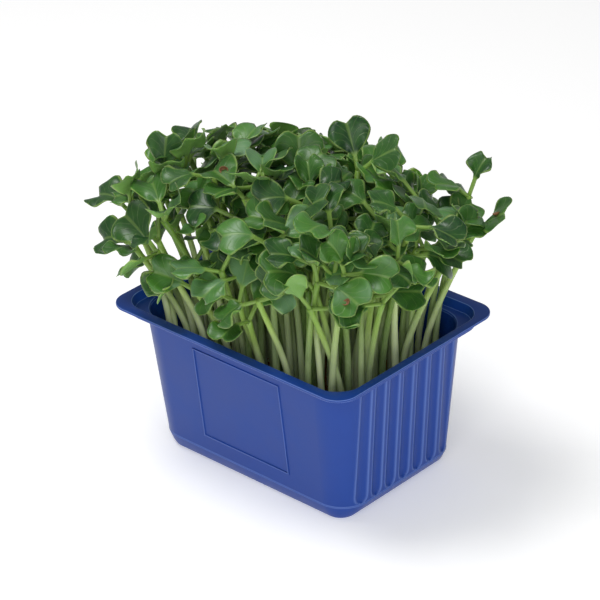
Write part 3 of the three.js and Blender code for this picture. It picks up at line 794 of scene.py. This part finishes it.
def tube(sides, steps):
    """A tube of unit radius from 0 to 1 along Z, cut into steps and closed at its foot."""
    bm = bmesh.new()
    bmesh.ops.create_cone(
        bm,
        cap_ends=True,
        segments=sides,
        radius1=1,
        radius2=1,
        depth=1,
        matrix=Matrix.Translation((0, 0, 0.5)),
    )
    upright = [edge for edge in bm.edges if abs(edge.verts[0].co.z - edge.verts[1].co.z) > 0.5]
    bmesh.ops.subdivide_edges(bm, edges=upright, cuts=steps - 1)
    return bm


def tube_mesh(name, bm):
    for face in bm.faces:
        face.smooth = True
    mesh = bpy.data.meshes.new(name)
    bm.to_mesh(mesh)
    bm.free()
    for kind, attribute in (("FLOAT_VECTOR", "place"), ("FLOAT", "tint")):
        mesh.attributes.new(attribute, kind, "POINT")
    places = np.zeros(len(mesh.vertices) * 3)
    mesh.vertices.foreach_get("co", places)
    return mesh, places.reshape(-1, 3)


stem_tube = tube_mesh("stem_tube", tube(STEM_SIDES, STEM_STEPS))
leaf_bm = tube(LEAF_SIDES, LEAF_STEPS)
far_cap = [face for face in leaf_bm.faces if all(v.co.z > 1 - 1e-4 for v in face.verts)]
bmesh.ops.delete(leaf_bm, geom=far_cap, context="FACES_ONLY")
for vert in leaf_bm.verts:
    if vert.co.z > 1 - 1e-4:
        vert.co.y = 0
bmesh.ops.remove_doubles(leaf_bm, verts=leaf_bm.verts, dist=1e-5)
leaf_tube = tube_mesh("leaf_tube", leaf_bm)


def shaped(template, points, places, tint, material):
    """A copy of a tube with its points in place, in metres, and what its material reads."""
    mesh = template[0].copy()
    mesh.vertices.foreach_set("co", (points * MM).ravel())
    mesh.attributes["place"].data.foreach_set("vector", places.ravel())
    mesh.attributes["tint"].data.foreach_set("value", np.full(len(points), tint))
    mesh.polygons.foreach_set("material_index", np.full(len(mesh.polygons), material))
    return mesh


def stem_mesh(seedling, tint, girth):
    """The stem: round, thicker at its foot, sunk in the mat, and swollen where it forks."""
    x, y, share = stem_tube[1].T
    buried = 2 / STEM_STEPS
    run = np.clip((share - buried) / (1 - buried), 0, 1)
    line = stem_points(seedling, run)
    line[:, 2] -= np.clip(buried - share, 0, 1) / buried * (CLEAR_OF_MAT - STEM_FOOT)
    ahead = stem_points(seedling, np.minimum(run + 0.01, 1)) - stem_points(seedling, run - 0.01)
    way = unit(ahead)
    first = seedling["leaves"][0]["turn"]
    axis = np.array([math.cos(first), math.sin(first), 0])
    across = unit(np.cross(way, axis))
    along = np.cross(across, way)
    radius = ROOT_RADIUS * girth + (CROWN_RADIUS - ROOT_RADIUS * girth) * run
    radius = radius * (1 + FORK_SWELLING * np.exp(-(((run - 1) / 0.03) ** 2)))
    points = line + (along * x[:, None] + across * y[:, None]) * radius[:, None]
    places = np.stack([run, np.full(len(run), -1.0), np.zeros(len(run))], axis=1)
    return shaped(stem_tube, points, places, tint, 0)


def leaf_mesh(seedling, leaf, tint, ruffle):
    """A leaf with its stalk: round at the crown, then spread to the blade with a ruffled edge."""
    x, y, share = leaf_tube[1].T
    bare = STALK_STEPS / LEAF_STEPS
    crown = seedling["crown"] - seedling["lean"] * 0.5
    along = np.clip((share - bare) / (1 - bare), 0, 1)
    point, face = blade_points(seedling["crown"], leaf, along, x)
    thick = BLADE_THICK + (STALK_THICK - BLADE_THICK) * (1 - along) ** 3
    thick = thick * (1 - 0.75 * along**6)
    edge = np.abs(x) ** 3 * np.minimum(1, 3 * along)
    wave = edge * np.sin(leaf["turn"] * 5 + 7 * along + 2.5 * x)
    wave = ruffle * (wave + 0.6 * along**4 * np.sin(leaf["turn"] * 9 + 6 * x))
    wave = wave + TIP_CURL * math.sin(leaf["turn"] * 13) * along * along * (1 - 0.5 * x * x)
    points = point + face * (y * thick + wave)[:, None]
    on_stalk = share < bare + 1e-6
    run = np.clip(share / bare, 0, 1)[on_stalk]
    line, side, up = midrib(crown, leaf)(run * leaf["stalk"])
    width = CROWN_RADIUS * 0.8 + (STALK_HALF_WIDTH - CROWN_RADIUS * 0.8) * run
    stalk = line + side * (x[on_stalk] * width)[:, None] + up * (y[on_stalk] * STALK_THICK)[:, None]
    blend = (run**2)[:, None]
    points[on_stalk] = stalk * (1 - blend) + (points[on_stalk]) * blend
    places = np.stack([x, np.where(on_stalk, share / bare - 1, along), np.sign(y)], axis=1)
    return shaped(leaf_tube, points, places, tint, 1)


def sprout_object(name, seedlings, looks, stem_shade_range):
    """One object from the stems and leaves of its seedlings. The stems' tint is drawn from the range that
    comes last; a higher range paints them darker, as painted shade.
    """
    bm = bmesh.new()
    for seedling in seedlings:
        parts = [stem_mesh(seedling, looks(*stem_shade_range), looks(*GIRTH))]
        parts += [leaf_mesh(seedling, leaf, looks(0, 1), looks(*RUFFLE)) for leaf in seedling["leaves"]]
        for mesh in parts:
            bm.from_mesh(mesh)
            bpy.data.meshes.remove(mesh)
    return new_object(name, bm, stem_tissue, leaf_tissue)


# Stem: living tissue full of water. It is almost white near the mat and green where it sees
# light, and its skin shines a little, with fine streaks along it.
stem_tissue = bpy.data.materials.new("cress stem, living tissue")
stem_tissue.use_nodes = True
tree = stem_tissue.node_tree
juicy = tree.nodes["Principled BSDF"]
place = add_node(tree, "Attribute", attribute_name="place").outputs["Vector"]
height = add_node(tree, "SeparateXYZ", {"Vector": place}).outputs["X"]
tint = add_node(tree, "Attribute", attribute_name="tint").outputs["Fac"]
greening = add_node(tree, "ValToRGB", {"Fac": height})
ramp = greening.color_ramp
ramp.elements[0].color = linear("#e2edcc")
ramp.elements[1].color = linear("#8bb14c")
ramp.elements.new(0.35).color = linear("#e0efbb")
ramp.elements.new(0.75).color = linear("#b4d074")
STREAK = 0.25
space = add_node(tree, "TexCoord").outputs["Object"]
drawn_out = add_node(tree, "Mapping", {"Vector": space, "Scale": (1, 1, 0.08)})
streaks = add_node(
    tree, "TexNoise", {"Vector": drawn_out.outputs["Vector"], "Scale": 1 / (STREAK * MM), "Detail": 2}
)
streaky = add_node(tree, "MapRange", {"Value": streaks.outputs["Fac"], "To Min": 0.6, "To Max": 1.2})
# The tint darkens a stem towards olive along its streaks: random tone, and painted shade where a seedling
# stands deeper in the crowd.
mixing = add_node(tree, "Math", {0: streaky.outputs["Result"], 1: tint}, operation="MULTIPLY")
tone = add_node(
    tree,
    "Mix",
    {"Factor": mixing.outputs["Value"], "A": greening.outputs["Color"], "B": linear("#54792c")},
    data_type="RGBA",
)
tree.links.new(tone.outputs["Result"], juicy.inputs["Base Color"])
relief = add_node(
    tree, "Bump", {"Height": streaks.outputs["Fac"], "Strength": 0.2, "Distance": 0.06 * MM}
)
tree.links.new(relief.outputs["Normal"], juicy.inputs["Normal"])
juicy.inputs["Roughness"].default_value = 0.3
juicy.inputs["IOR"].default_value = 1.4
juicy.inputs["Subsurface Weight"].default_value = 0.4
juicy.inputs["Subsurface Radius"].default_value = (1, 1, 0.45)
juicy.inputs["Subsurface Scale"].default_value = 1.6 * MM

# Leaf: a waxy seed leaf. Its upper face is dark green with patches of painted grey-blue sheen, the
# reflected light, and a sunken pale midrib and branching veins. The underside is paler, and a thin
# light line runs round the edge.
leaf_tissue = bpy.data.materials.new("cress leaf, waxy")
leaf_tissue.use_nodes = True
tree = leaf_tissue.node_tree
waxy = tree.nodes["Principled BSDF"]
place = add_node(tree, "Attribute", attribute_name="place").outputs["Vector"]
split = add_node(tree, "SeparateXYZ", {"Vector": place})
across, along, upper = (split.outputs[axis] for axis in "XYZ")
tint = add_node(tree, "Attribute", attribute_name="tint").outputs["Fac"]
space = add_node(tree, "TexCoord").outputs["Object"]
BLOTCH = 5
blotches = add_node(tree, "TexNoise", {"Vector": space, "Scale": 1 / (BLOTCH * MM), "Detail": 3})
shade = add_node(tree, "Math", {0: blotches.outputs["Fac"], 1: tint}, operation="ADD")
depth = add_node(tree, "MapRange", {"Value": shade.outputs["Value"], "From Min": 0.3, "From Max": 1.7})
green = add_node(
    tree,
    "Mix",
    {"Factor": depth.outputs["Result"], "A": linear("#10361a"), "B": linear("#4e842c")},
    data_type="RGBA",
)
SHEEN_PATCH_SIZE = 9
# Painted reflection: noise patches, stronger on leaves with a high tint, mix a grey-blue sheen into the
# green.
sheen_patches = add_node(tree, "TexNoise", {"Vector": space, "Scale": 1 / (SHEEN_PATCH_SIZE * MM), "Detail": 1})
sheen_sum = add_node(
    tree, "Math", {0: sheen_patches.outputs["Fac"], 1: tint, 2: 0.1}, operation="MULTIPLY_ADD"
)
painted_sheen = add_node(
    tree,
    "MapRange",
    {"Value": sheen_sum.outputs["Value"], "From Min": 0.42, "From Max": 0.75, "To Min": 0, "To Max": 0.4},
    interpolation_type="SMOOTHSTEP",
)
sheened = add_node(
    tree,
    "Mix",
    {"Factor": painted_sheen.outputs["Result"], "A": green.outputs["Result"], "B": linear("#7b9c84")},
    data_type="RGBA",
)
out_from_rib = add_node(tree, "Math", {0: across}, operation="ABSOLUTE").outputs["Value"]
slant = add_node(
    tree, "Math", {0: out_from_rib, 1: -0.55, 2: along}, operation="MULTIPLY_ADD"
).outputs["Value"]
vein_place = add_node(tree, "CombineXYZ", {"X": out_from_rib, "Y": slant, "Z": tint})
VEINS_EACH_SIDE = 4
vein_bands = add_node(
    tree,
    "TexWave",
    {
        "Vector": vein_place.outputs["Vector"],
        "Scale": VEINS_EACH_SIDE / 3.2,
        "Distortion": 1.6,
        "Detail": 2,
        "Detail Scale": 3,
    },
    bands_direction="Y",
    wave_profile="TRI",
)
veins = add_node(
    tree,
    "MapRange",
    {"Value": vein_bands.outputs["Fac"], "From Min": 0.86, "From Max": 1, "To Min": 0, "To Max": 0.6},
    interpolation_type="SMOOTHSTEP",
)
rib = add_node(
    tree,
    "MapRange",
    {"Value": out_from_rib, "From Min": 0.03, "From Max": 0.12, "To Min": 1, "To Max": 0},
    interpolation_type="SMOOTHSTEP",
)
net = add_node(tree, "Math", {0: veins.outputs["Result"], 1: rib.outputs["Result"]}, operation="MAXIMUM")
net_share = add_node(tree, "Math", {0: net.outputs["Value"], 1: 0.26}, operation="MULTIPLY")
veined = add_node(
    tree,
    "Mix",
    {"Factor": net_share.outputs["Value"], "A": sheened.outputs["Result"], "B": linear("#93b15c")},
    data_type="RGBA",
)
beneath = add_node(tree, "MapRange", {"Value": upper, "From Min": 0.3, "From Max": -0.3})
sided = add_node(
    tree,
    "Mix",
    {"Factor": beneath.outputs["Result"], "A": veined.outputs["Result"], "B": linear("#74a050")},
    data_type="RGBA",
)
outermost = add_node(tree, "Math", {0: out_from_rib, 1: along}, operation="MAXIMUM")
edge = add_node(
    tree,
    "MapRange",
    {"Value": outermost.outputs["Value"], "From Min": 0.955, "From Max": 1, "To Min": 0, "To Max": 0.45},
    interpolation_type="SMOOTHSTEP",
)
edged = add_node(
    tree,
    "Mix",
    {"Factor": edge.outputs["Result"], "A": sided.outputs["Result"], "B": linear("#a9c668")},
    data_type="RGBA",
)
base = add_node(
    tree,
    "MapRange",
    {"Value": along, "From Min": 0, "From Max": 0.16, "To Min": 1, "To Max": 0},
    interpolation_type="SMOOTHSTEP",
)
whole = add_node(
    tree,
    "Mix",
    {"Factor": base.outputs["Result"], "A": edged.outputs["Result"], "B": linear("#7d9f48")},
    data_type="RGBA",
)
tree.links.new(whole.outputs["Result"], waxy.inputs["Base Color"])
# Real cells are about 0.05 mm wide, and are drawn ten times as coarse so that they show.
CELL = 0.5
cells = add_node(tree, "TexNoise", {"Vector": space, "Scale": 1 / (CELL * MM), "Detail": 2})
cell_relief = add_node(
    tree, "Bump", {"Height": cells.outputs["Fac"], "Strength": 0.25, "Distance": 0.06 * MM}
)
vein_relief = add_node(
    tree,
    "Bump",
    {
        "Height": net.outputs["Value"],
        "Strength": 0.5,
        "Distance": 0.15 * MM,
        "Normal": cell_relief.outputs["Normal"],
    },
    invert=True,
)
tree.links.new(vein_relief.outputs["Normal"], waxy.inputs["Normal"])
waxy.inputs["Roughness"].default_value = 0.36
waxy.inputs["IOR"].default_value = 1.45
waxy.inputs["Subsurface Weight"].default_value = 0.2
waxy.inputs["Subsurface Radius"].default_value = (0.6, 1, 0.2)
waxy.inputs["Subsurface Scale"].default_value = 0.6 * MM
waxy.inputs["Sheen Weight"].default_value = 0.05
waxy.inputs["Sheen Roughness"].default_value = 0.4
waxy.inputs["Sheen Tint"].default_value = linear("#b9d2d8")

# Painted shade: the seedlings between stand deeper in the crowd, so their stems take a higher tint and are
# painted darker olive.
OPEN_STEMS, SHADED_STEMS = (0, 0.45), (0.4, 1)
looks = repeatable(77)
for i, clump in enumerate(clumps):
    node = f"sprout_{i + 1:02d}"
    sprout = sprout_object(f"{node}_fine", clump["seedlings"], looks, OPEN_STEMS)
    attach(sprout, "root")
    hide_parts(node)

MORE_GROUP = 10
for first in range(0, len(more_clumps), MORE_GROUP):
    group = more_clumps[first : first + MORE_GROUP]
    seedlings = [seedling for clump in group for seedling in clump["seedlings"]]
    name = f"sprouts_between_{first // MORE_GROUP + 1:02d}"
    sprouts = sprout_object(name, seedlings, looks, SHADED_STEMS)
    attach(sprouts, "root")

# Loose fibres and seed coats
# Strands of coir have worked out of the mat's top and lie over it between the stems. Empty seed
# coats, red-brown and split in half, lie among them, and a few hang on the leaves.
STRAY_COUNT = 260
STRAY_LENGTH = (4, 9)
STRAY_RADIUS = (0.14, 0.26)
STRAY_RISE = (0.4, 5)
MAT_REACH = (38.5, 25)
COAT_COUNT = 44
COATS_ON_LEAVES = 6
COAT_SIZE = (1.5, 1.2, 0.95)
COAT_THICK = 0.14
COAT_ABOVE_LEAF, COAT_ABOVE_MAT = 1.2, 0.3
STRAY_SUNK = 0.2
litter = repeatable(4099)
stray_tube = tube_mesh("stray_tube", tube(4, 6))
stray_bm = bmesh.new()
for _ in range(STRAY_COUNT):
    start = [litter(-reach, reach) for reach in MAT_REACH]
    turn, bend = litter(0, 2 * math.pi), litter(-1.6, 1.6)
    length, radius, rise = litter(*STRAY_LENGTH), litter(*STRAY_RADIUS), litter(*STRAY_RISE)
    x, y, share = stray_tube[1].T
    heading = turn + bend * share
    run = length * share
    line = np.stack([start[0] + run * np.cos(heading), start[1] + run * np.sin(heading)])
    line = np.clip(line, [[-MAT_REACH[0]], [-MAT_REACH[1]]], [[MAT_REACH[0]], [MAT_REACH[1]]])
    height = mat_top(*start) - STRAY_SUNK + rise * share**1.6
    side = np.stack([-np.sin(heading), np.cos(heading)])
    points = np.stack([*(line + side * x * radius), height + y * radius], axis=1)
    mesh = shaped(stray_tube, points, points, litter(0, 1), 0)
    stray_bm.from_mesh(mesh)
    bpy.data.meshes.remove(mesh)
strays = new_object("loose_fibres", stray_bm, fibre)
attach(strays, "root")

# Seed coat: a dry papery husk, red-brown outside and paler where it has rubbed, hardly shiny.
husk = bpy.data.materials.new("radish seed coat, dry")
husk.use_nodes = True
tree = husk.node_tree
papery = tree.nodes["Principled BSDF"]
space = add_node(tree, "TexCoord").outputs["Object"]
WRINKLE = 0.6
wrinkles = add_node(tree, "TexNoise", {"Vector": space, "Scale": 1 / (WRINKLE * MM), "Detail": 3})
tone = add_node(
    tree,
    "Mix",
    {"Factor": wrinkles.outputs["Fac"], "A": linear("#5f3620"), "B": linear("#9c7048")},
    data_type="RGBA",
)
tree.links.new(tone.outputs["Result"], papery.inputs["Base Color"])
papery.inputs["Roughness"].default_value = 0.6
relief = add_node(
    tree, "Bump", {"Height": wrinkles.outputs["Fac"], "Strength": 0.4, "Distance": 0.1 * MM}
)
tree.links.new(relief.outputs["Normal"], papery.inputs["Normal"])

coat_bm = bmesh.new()
grown_seedlings = [seedling for clump in clumps + more_clumps for seedling in clump["seedlings"]]
for i in range(COAT_COUNT):
    if i < COATS_ON_LEAVES:
        seedling = grown_seedlings[int(litter(0, len(grown_seedlings)))]
        leaf = seedling["leaves"][0]
        spot, face = blade_points(seedling["crown"], leaf, np.array([0.6]), np.array([litter(-0.5, 0.5)]))
        spot = spot[0] + face[0] * COAT_ABOVE_LEAF
    else:
        spot = [litter(-reach, reach) * 0.95 for reach in MAT_REACH]
        spot.append(mat_top(*spot) + COAT_ABOVE_MAT)
    tumble = Matrix.Rotation(litter(-1.2, 1.2), 4, "X") @ Matrix.Rotation(litter(-1.2, 1.2), 4, "Y")
    lay = (
        Matrix.Translation(Vector(spot) * MM)
        @ Matrix.Rotation(litter(0, 2 * math.pi), 4, "Z")
        @ tumble
        @ Matrix.Diagonal((*(size * MM for size in COAT_SIZE), 1))
    )
    half = bmesh.new()
    bmesh.ops.create_uvsphere(half, u_segments=9, v_segments=6, radius=1)
    everything = [*half.verts, *half.edges, *half.faces]
    bmesh.ops.bisect_plane(half, geom=everything, plane_co=(0, 0, 0), plane_no=(0, 0, 1), clear_outer=True)
    bmesh.ops.transform(half, matrix=lay, verts=half.verts)
    bmesh.ops.recalc_face_normals(half, faces=half.faces)
    bmesh.ops.solidify(half, geom=half.faces[:], thickness=COAT_THICK * MM)
    mesh = bpy.data.meshes.new("half_coat")
    half.to_mesh(mesh)
    half.free()
    coat_bm.from_mesh(mesh)
    bpy.data.meshes.remove(mesh)
bmesh.ops.recalc_face_normals(coat_bm, faces=coat_bm.faces)
coats = new_object("seed_coats", coat_bm, husk)
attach(coats, "root")

# The studio: a pale floor, soft light from the front, the right and above, and the photograph's
# view.
FLOOR_SIZE = 6
floor_bm = bmesh.new()
bmesh.ops.create_grid(floor_bm, x_segments=1, y_segments=1, size=FLOOR_SIZE / 2)
paper = bpy.data.materials.new("paper, matt white")
paper.use_nodes = True
sheet = paper.node_tree.nodes["Principled BSDF"]
sheet.inputs["Base Color"].default_value = linear("#f6f6f6")
sheet.inputs["Roughness"].default_value = 0.9
sheet.inputs["Emission Color"].default_value = (1, 1, 1, 1)
sheet.inputs["Emission Strength"].default_value = 0.3
floor = new_object("studio_floor", floor_bm, paper)

world = bpy.data.worlds.new("studio")
world.use_nodes = True
world.node_tree.nodes["Background"].inputs["Color"].default_value = (1, 1, 1, 1)
world.node_tree.nodes["Background"].inputs["Strength"].default_value = 0.3
bpy.context.scene.world = world
bpy.context.scene.view_settings.view_transform = "Standard"


SOFTBOX_DISTANCE = 0.8


def softbox(name, azimuth, elevation, size, watts):
    """A square light that faces the tray."""
    turn, tilt = math.radians(azimuth), math.radians(elevation)
    way = Vector((math.sin(turn) * math.cos(tilt), -math.cos(turn) * math.cos(tilt), math.sin(tilt)))
    light = bpy.data.lights.new(name, "AREA")
    light.size = size
    light.energy = watts
    lamp = bpy.data.objects.new(name, light)
    lamp.location = Vector((0, 0, 0.05)) + way * SOFTBOX_DISTANCE
    lamp.rotation_euler = way.to_track_quat("Z", "Y").to_euler()
    bpy.context.scene.collection.objects.link(lamp)


softbox("softbox_front", 34, 30, 0.4, 1.45)
softbox("softbox_right", 66, 15, 0.25, 1.25)
softbox("softbox_top", -60, 72, 0.35, 3.8)

VIEW_AZIMUTH, VIEW_ELEVATION, VIEW_ROLL = 43.52, 29.28, -2.17
VIEW_DISTANCE = 0.9805
VIEW_TARGET = Vector((-0.0193, 0.0197, 0.03975))
turn, tilt = math.radians(VIEW_AZIMUTH), math.radians(VIEW_ELEVATION)
back = Vector((math.sin(turn) * math.cos(tilt), -math.cos(turn) * math.cos(tilt), math.sin(tilt)))
lens = bpy.data.cameras.new("camera")
lens.lens = 180
lens.sensor_width = 36
camera = bpy.data.objects.new("camera", lens)
camera.location = VIEW_TARGET + back * VIEW_DISTANCE
facing = back.to_track_quat("Z", "Y") @ Matrix.Rotation(math.radians(VIEW_ROLL), 3, "Z").to_quaternion()
camera.rotation_euler = facing.to_euler()
bpy.context.scene.collection.objects.link(camera)
bpy.context.scene.camera = camera
